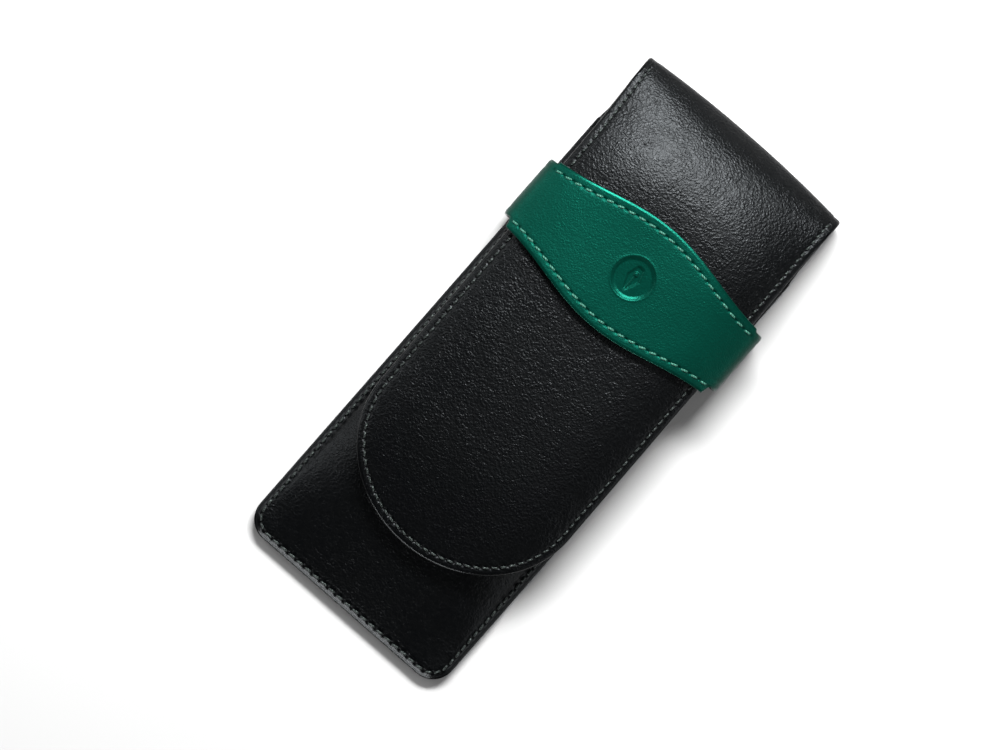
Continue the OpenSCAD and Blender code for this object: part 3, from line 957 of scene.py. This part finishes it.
def front_faces(points, depth):
    """Depth of the front's two faces: a slant at the sewn edge, a round edge at the mouth."""
    at_mouth = smooth((points[:, 1] - (MOUTH_Y - 5)) / 2)
    side = edge_distance(points[:, 0], points[:, 1])
    slant = 1.25 * np.clip((1.55 - depth) / 1.3, 0, 1) + rolled(depth, 0.3, 0.2)
    edge = np.where(at_mouth > 0.5, rolled(depth, 0.65, 0.65), slant)
    press = 0.13 * np.exp(-((side - SEAM_IN) / 0.45) ** 2)
    margin = 1 - smooth((side - 2.4) / 1.6)
    # the seam is thinner inside where it takes in the strap's tabs
    tab = (np.abs(points[:, 1] - STRAP_Y - TAB_UP) < TAB_HALF + 0.45) & (side < 3.4)
    inner = np.where(tab, 1.3, mix(1.35, 1.95, margin))
    return edge + press, inner - np.where(at_mouth > 0.5, rolled(depth, 0.65, 0.65), 0)


def front_grain(points):
    """Across the pocket the grain follows the surface, so it keeps its size on the steep sides."""
    x = points[:, :1] * np.linspace(0, 1, 121)
    h = front_height(x, np.broadcast_to(points[:, 1:2], x.shape))
    run = np.hypot(np.diff(x, axis=1), np.diff(h, axis=1)).sum(axis=1)
    return np.column_stack([np.sign(points[:, 0]) * run, points[:, 1]])


def on_slant(points):
    """Where the sewn edge is polished."""
    side = edge_distance(points[:, 0], points[:, 1])
    return 0.8 * (1 - smooth((side - 1.2) / 0.5))


front_rings = [0, 0.05, 0.15, 0.3, 0.5, 0.75, 1.1, 1.45, 1.7, 1.95, 2.15, 2.3, 2.45, 2.6, 2.75, 2.9,
               3.1, 3.35, 3.7, 4.2, 4.9, 5.8]
front_piece, = build_layer(
    ["pocket_front"], resample(front_outline(), STEP), front_rings, 1.2,
    front_faces, front_point, black, hole_rows=seam_rows, polished=on_slant, grain=front_grain
)
finish(front_piece, ["front_leather", "front_padding"], "root")


def front_lining_faces(points, depth):
    """Depth of the front lining's two faces."""
    return np.full(len(points), 1.3), 1.92 - rolled(depth, 0.3, 0.28)


front_lining, = build_layer(
    ["pocket_front_lining"], resample(front_outline(2.7, MOUTH_Y - 0.9), 0.6),
    [0, 0.1, 0.25, 0.45, 0.7, 1.0, 1.4, 2.0, 2.8], 1.8, front_lining_faces, front_point, lining
)
finish(front_lining, ["front_lining"], "root")

for name, row, node_name in (
    ("left_seam_stitches", seam_left, "seam_stitching_left"),
    ("right_seam_stitches", seam_right, "seam_stitching_right"),
    ("bottom_seam_stitches", seam_bottom, "seam_stitching_bottom"),
):
    piece = threads(name, [(row, face_of(front_point, 0.1, 1))], black_thread)
    finish(piece, [node_name], "root")
    under = threads(
        name + "_under", [(row, face_of(sheet_point, 0.34, 1))], black_thread, lift=0.0, width=0.22
    )
    finish(under, (), "root")

mouth_line = line_of(np.linspace(-26, 26, 60), np.full(60, MOUTH_Y - 2.6))
mouth_threads = threads(
    "mouth_stitches", [(row_points(mouth_line, STRAP_PITCH), face_of(front_point, 0.02, 1))],
    black_thread, lift=0.05, width=0.22
)
finish(mouth_threads, ["mouth_stitching"], "root")

# ---- the strap ----

TILT = math.tan(math.radians(0.8))
CORNER_X = 32.5
END_HALF = 10.75
MID_EXTRA = 5.3


def strap_crown(x):
    """Height of the strap's outer face over the flap."""
    return STRAP_TOP - STRAP_DROP * (np.abs(x) / FLAP_HALF) ** CROWN_POWER


slope_a = math.atan(STRAP_DROP * CROWN_POWER / FLAP_HALF * (CORNER_X / FLAP_HALF) ** (CROWN_POWER - 1))
corner_r = (STRAP_HALF - CORNER_X) / (1 - math.sin(slope_a))
corner_z = float(strap_crown(CORNER_X)) - corner_r * math.cos(slope_a)


def strap_half_path(edge):
    """x, z of the strap's outer face from its middle to the seam."""
    x = np.linspace(0, CORNER_X, 120)
    path = [np.column_stack([x, strap_crown(x)])]
    a = np.linspace(math.pi / 2 - slope_a, 0, 24)[1:]
    path.append(np.column_stack([
        STRAP_HALF - corner_r + corner_r * np.cos(a), corner_z + corner_r * np.sin(a)
    ]))
    r = STRAP_HALF - edge
    z = np.linspace(corner_z, BACK_T + r, 30)[1:]
    path.append(np.column_stack([np.full(len(z), STRAP_HALF), z]))
    a = np.linspace(0, -math.pi / 2, 24)[1:]
    path.append(np.column_stack([edge + r * np.cos(a), BACK_T + r + r * np.sin(a)]))
    path.append(np.array([[edge - 2.3, BACK_T]]))
    return np.vstack(path)


right_path = strap_half_path(HALF_W + POCKET_X)
left_path = strap_half_path(HALF_W - POCKET_X) * [-1, 1]
strap_path = np.vstack([left_path[::-1], right_path[1:]])
strap_run = np.concatenate([[0], np.cumsum(np.linalg.norm(np.diff(strap_path, axis=0), axis=1))])
strap_run -= strap_run[len(left_path) - 1]
even_run = np.arange(strap_run[0], strap_run[-1], 0.1)
even_path = np.column_stack([np.interp(even_run, strap_run, strap_path[:, i]) for i in range(2)])
even_slope = np.gradient(even_path, even_run, axis=0)
for _ in range(6):
    even_slope[1:-1] = (even_slope[:-2] + even_slope[1:-1] + even_slope[2:]) / 3
even_slope /= np.linalg.norm(even_slope, axis=1, keepdims=True)


def strap_point(u, v, w):
    """The point at u along the strap and v above its middle line, w under its outer face."""
    x, z, tx, tz = (np.interp(u, even_run, c) for c in (*even_path.T, *even_slope.T))
    px = x + tz * w
    soft = 0.10 * np.sin(u / 6.1) * np.sin(v / 5.3 + 0.8)
    return np.column_stack([px - POCKET_X, STRAP_Y + v + x * TILT, z - tx * w + soft * tx])


def strap_x(u):
    """x at u along the strap."""
    return np.interp(u, even_run, even_path[:, 0])


def strap_reach(x):
    """Half the strap's height at x."""
    return END_HALF + MID_EXTRA * np.cos(math.pi / 2 * np.minimum(1, np.abs(x) / STRAP_HALF)) ** 2


# Where the strap's top ends and its narrower tabs go on down the sides
TOP_END_X = 32.8
half_run = len(even_run) // 2
rising = slice(half_run, int(np.argmax(even_path[:, 0])))
top_u = float(np.interp(TOP_END_X, even_path[rising, 0], even_run[rising]))


def strap_outline():
    """The strap's flat outline in u and v, anticlockwise from the left end's lower corner."""
    u = np.linspace(-top_u, top_u, 121)
    reach = strap_reach(strap_x(u))
    sides = []
    for sign in (-1, 1):
        tab = TAB_HALF + sign * TAB_UP
        corner = mix(tab, reach[0], 0.3)
        side = [(strap_run[0], tab), (-top_u - 0.9, tab), (-top_u - 0.45, corner), *zip(u, reach)]
        side += [(top_u + 0.45, corner), (top_u + 0.9, tab), (strap_run[-1], tab)]
        sides.append([(a, sign * b) for a, b in side])
    return np.array(sides[0] + sides[1][::-1])


EMBLEM_U, EMBLEM_V = 0.45, 0.1
EMBLEM_R = 5.65


def emblem(u, v):
    """Depth of the sunk disc, with a nib pressed into it, and of the lip round it."""
    x, y = u - EMBLEM_U, v - EMBLEM_V
    r = np.hypot(x, y)
    disc = 0.38 * np.clip((EMBLEM_R + 0.05 - r) / 0.95, 0, 1)
    lip = -0.10 * np.exp(-((r - EMBLEM_R - 0.25) / 0.3) ** 2)
    shoulder = 2.1 - 0.28 * np.clip(y, 0, 4.4)
    taper = 2.1 * np.clip((y + 4.3) / 4.3, 0, 1) ** 0.8
    half = np.where(y > 0, shoulder, taper)
    nib = np.clip((half - np.abs(x)) / 0.6, 0, 1) * np.clip((3.6 - y) / 0.7, 0, 1)
    slit = np.exp(-(x / 0.13) ** 2) * smooth((1.0 - y) / 0.3)
    hole = 1 - smooth((np.hypot(x, y - 1.2) - 0.5) / 0.2)
    return disc + lip + 0.30 * nib * (1 - np.maximum(slit, hole))


def on_disc(points):
    """Where the emblem's pressed disc is polished."""
    r = np.hypot(points[:, 0] - EMBLEM_U, points[:, 1] - EMBLEM_V)
    return 0.55 * (1 - smooth((r - EMBLEM_R) / 0.6))


def disc_points():
    """Extra points for the emblem's shape."""
    rings = [
        np.column_stack([r * np.cos(a), r * np.sin(a)])
        for r in (4.7, 4.83, 4.96, 5.09, 5.22, 5.35, 5.5, 5.65, 5.8, 5.95, 6.15, 6.4)
        for a in [np.linspace(0, 2 * np.pi, 110, endpoint=False)]
    ]
    floor_r = 4.55
    rows, columns = np.arange(-floor_r, floor_r, 0.19), np.arange(-floor_r, floor_r, 0.21)
    grid = np.array([(x + (0.1 if k % 2 else 0), y) for k, y in enumerate(rows) for x in columns])
    grid = grid[np.hypot(*grid.T) < floor_r]
    return np.vstack([*rings, grid]) + [EMBLEM_U, EMBLEM_V]


def strap_row(side):
    """Holes along the strap's upper (1) or lower (-1) edge."""
    u = np.linspace(-top_u, top_u, 300)
    return row_points(line_of(u, side * (strap_reach(strap_x(u)) - STRAP_IN)), STRAP_PITCH)


def strap_faces(points, depth):
    """Depth of the strap's two faces, which get thinner where its ends run into the seams."""
    seam = smooth((np.abs(points[:, 0]) - (even_run[-1] - 8)) / 5)
    edge = rolled(depth, 0.35, 0.32) + 0.10 * (1 - smooth((depth - 0.3) / 0.4))
    press = 0.09 * np.exp(-((depth - STRAP_IN) / 0.4) ** 2) * (1 - seam)
    thick = mix(STRAP_T, 0.6, seam)
    top = edge + press + emblem(points[:, 0], points[:, 1])
    return top * (1 - 0.6 * seam), thick - edge * (1 - 0.7 * seam) * 0.6


strap_rows = [strap_row(1), strap_row(-1)]
strap_rings = [0, 0.05, 0.12, 0.22, 0.35, 0.5, 0.65, 0.8, 0.95, 1.1, 1.4, 1.75, 2.0, 2.2, 2.4, 2.6, 2.8,
               3.1, 3.6]
strap_piece, = build_layer(
    ["keeper_strap"], resample(strap_outline(), STEP), strap_rings, 0.95,
    strap_faces, strap_point, green, hole_rows=strap_rows, extra=disc_points(), polished=on_disc
)
finish(strap_piece, ["strap_leather", "strap_stiffener"], "root")


def strap_lining_faces(points, depth):
    """Depth of the strap lining's two faces."""
    return np.full(len(points), STRAP_T - 0.06), 1.72 - rolled(depth, 0.25, 0.22)


# The strap's lining ends on the sides, at this height
LINING_END_Z = 6.5
lining_end = float(np.interp(-LINING_END_Z, -even_path[half_run:, 1], even_run[half_run:]))
strap_lining_line = resample(strap_outline(), 0.5)
strap_lining_line = strap_lining_line + inward(strap_lining_line) * 0.6
strap_lining_line[:, 0] = np.clip(strap_lining_line[:, 0], -lining_end, lining_end)
strap_lining_line = resample(strap_lining_line, 0.5)
strap_lining, = build_layer(
    ["keeper_strap_lining"], strap_lining_line, [0, 0.1, 0.25, 0.45, 0.8, 1.3, 2.0], 1.5,
    strap_lining_faces, strap_point, lining
)
finish(strap_lining, ["strap_lining"], "root")

for name, row, node_name in (
    ("upper_strap_stitches", strap_rows[0], "strap_stitching_upper"),
    ("lower_strap_stitches", strap_rows[1], "strap_stitching_lower"),
):
    piece = threads(name, [(row, face_of(strap_point, 0.08, 1))], green_thread, gap=1.0)
    finish(piece, [node_name], "root")

# ---- the dividers ----

def divider(side):
    """An L-shaped partition between two pens: a foot on the back's lining, and a wall."""
    foot, wall_x, wall_h = 5.0, 9.6, 12.4
    y0, y1 = 20.0, 132.0

    def place(u, v, w):
        # the wall reaches up to the front's lining, and turns out of the foot in a small bend
        top = front_height(np.full(len(v), wall_x), v) - 2.3
        u = np.where(u > foot, foot + (u - foot) * (top - 2.1) / wall_h, u)
        turn_r = 1.2
        flat = foot - turn_r * (math.pi / 4)
        a = np.clip((u - flat) / turn_r, 0, math.pi / 2)
        up = np.maximum(u - flat - turn_r * math.pi / 2, 0)
        bow = 0.5 * np.sin(v / 31) * smooth(up / 8)
        x = wall_x + turn_r + flat - np.minimum(u, flat) - turn_r * np.sin(a) + bow
        z = 2.05 + turn_r * (1 - np.cos(a)) + up
        nx, nz = -np.sin(a), -np.cos(a)
        return np.column_stack([side * (x - nx * w), v, z - nz * w])

    line = np.array([(0, y0), (foot + wall_h, y0), (foot + wall_h, y1), (0, y1)], float)

    def faces(points, depth):
        edge = rolled(depth, 0.35, 0.3)
        return edge, 0.75 - edge

    name = "left" if side < 0 else "right"
    piece, = build_layer(
        ["pen_divider_" + name], resample(line, 0.7), [0, 0.08, 0.2, 0.35, 0.7, 1.3], 1.6,
        faces, place, lining
    )
    finish(piece, ["divider_" + name], "root")


divider(-1)
divider(1)

# ---- floor and lights ----

def floor():
    """A plain pale floor, just under the case."""
    mesh = bpy.data.meshes.new("floor")
    half = 3.0
    corners = [(-half, -half, 0), (half, -half, 0), (half, half, 0), (-half, half, 0)]
    mesh.from_pydata(corners, [], [(0, 1, 2, 3)])
    piece = bpy.data.objects.new("floor", mesh)
    piece.location.z = -0.0002
    bpy.context.scene.collection.objects.link(piece)
    material, tree, bsdf = new_material("floor")
    bsdf.inputs["Base Color"].default_value = (0.34, 0.34, 0.34, 1)
    bsdf.inputs["Roughness"].default_value = 0.9
    bsdf.inputs["Specular IOR Level"].default_value = 0.0
    mesh.materials.append(material)


def softbox(name, place, size, power, colour=(1, 1, 1)):
    """An area light that faces the case. place is in metres from the case's middle."""
    data = bpy.data.lights.new(name, "AREA")
    data.shape = "RECTANGLE"
    data.size, data.size_y = size
    data.energy = power
    data.color = colour
    light = bpy.data.objects.new(name, data)
    light.location = place
    light.rotation_euler = (-Vector(place)).to_track_quat("-Z", "Y").to_euler()
    bpy.context.scene.collection.objects.link(light)


floor()
softbox("key", (-0.17, 0.45, 0.54), (0.44, 0.16), 24.0)
softbox("top", (0.20, 0.10, 0.80), (0.40, 0.35), 0.8)
softbox("left", (-1.0, -0.1, 0.40), (0.8, 0.4), 7)
softbox("right", (1.0, 0.1, 0.35), (0.8, 0.3), 3.5)
softbox("front", (0.1, -1.0, 0.10), (0.9, 0.12), 13)
world = bpy.data.worlds.new("studio")
world.use_nodes = True
world.node_tree.nodes["Background"].inputs[0].default_value = (1, 1, 1, 1)
world.node_tree.nodes["Background"].inputs[1].default_value = 0.05
bpy.context.scene.world = world
bpy.context.scene.view_settings.view_transform = "Standard"
